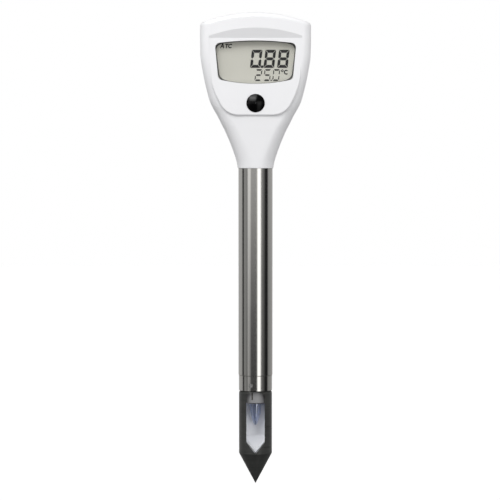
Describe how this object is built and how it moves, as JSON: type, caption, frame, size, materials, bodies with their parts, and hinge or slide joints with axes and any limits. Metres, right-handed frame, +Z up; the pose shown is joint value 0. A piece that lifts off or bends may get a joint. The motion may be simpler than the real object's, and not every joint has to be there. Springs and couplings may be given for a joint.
{
  "type": "water quality probe",
  "caption": "Handheld water quality probe with a flat display head, a power button, a steel tube and a pointed, windowed guard round a glass cone sensor.",
  "frame": {"origin": "on the tube's axis, at the shoulder where the tube enters the head", "axes": "+Z up the probe's axis towards the head's top, display facing -Y, +X to the viewer's right"},
  "size_m": [0.05, 0.0209, 0.2136],
  "materials": {
    "white_shell": "smooth satin gloss",
    "black_button": "high gloss",
    "clear_lens": "polished",
    "lcd_glass": "polished",
    "reflector": "satin foil",
    "pad_foam": "soft foam",
    "contact_rubber": "layered silicone",
    "frame_plastic": "moulded",
    "board_laminate": "solder mask",
    "chip_plastic": "moulded epoxy",
    "contact_metal": "plated",
    "cell_steel": "bright nickel",
    "screw_steel": "bright",
    "black_rubber": "smooth",
    "tube_steel": "polished lengthwise",
    "guard_black": "turned",
    "liner_white": "smooth",
    "stem_grey": "moulded",
    "sensor_glass": "polished",
    "gel_blue": "clear gel",
    "silver": "drawn",
    "wick_dark": "porous",
    "epoxy": "cast",
    "cable_jacket": "smooth"
  },
  "bodies": {
    "root": {"front_shell": "white_shell", "rear_shell": "white_shell", "case_seal": "black_rubber", "case_screws": "screw_steel", "board_screws": "screw_steel", "display_lens": "clear_lens", "display_frame": "frame_plastic", "lcd_front_glass": "lcd_glass", "lcd_rear_glass": "lcd_glass", "lcd_reflector": "reflector", "display_pad": "pad_foam", "contact_strips": "contact_rubber", "circuit_board": "board_laminate", "microcontroller": "chip_plastic", "board_parts": "chip_plastic", "switch_body": "chip_plastic", "coin_cell": "cell_steel", "battery_holder": "frame_plastic", "positive_contact": "contact_metal", "negative_contact": "contact_metal", "probe_tube": "tube_steel", "cable_grommet": "black_rubber", "end_ferrule": "tube_steel", "tip_guard": "guard_black", "guard_pin": "screw_steel", "guard_liner": "liner_white", "sensor_stem": "stem_grey", "reference_wick": "wick_dark", "stem_seals": "black_rubber", "glass_bulb": "sensor_glass", "electrode_gel": "gel_blue", "electrode_wire": "silver", "thermistor": "epoxy", "potting": "epoxy", "sensor_cable": "cable_jacket", "cable_connector": "frame_plastic"},
    "power_button": {"power_button": "black_button", "button_seal": "black_rubber", "switch_plunger": "chip_plastic"},
    "cover_carrier": {"cover_seal": "black_rubber"},
    "battery_cover": {"battery_cover": "white_shell"}
  },
  "joints": [
    {"name": "button_press", "type": "slide", "parent": "root", "child": "power_button", "axis": [0, 1, 0], "range_m": [0, 0.0005], "stiffness_N_per_m": 2000, "springref_m": -0.0005},
    {"name": "cover_lift", "type": "slide", "parent": "root", "child": "cover_carrier", "axis": [0, 1, 0], "range_m": [0, 0.00187]},
    {"name": "cover_turn", "type": "hinge", "parent": "cover_carrier", "child": "battery_cover", "pos_m": [0, 0, 0.04], "axis": [0, 1, 0], "range_deg": [0, 450]}
  ],
  "couplings": [
    {"joint": "cover_lift", "follows": "cover_turn", "m_per_rad": 0.00023873}
  ]
}
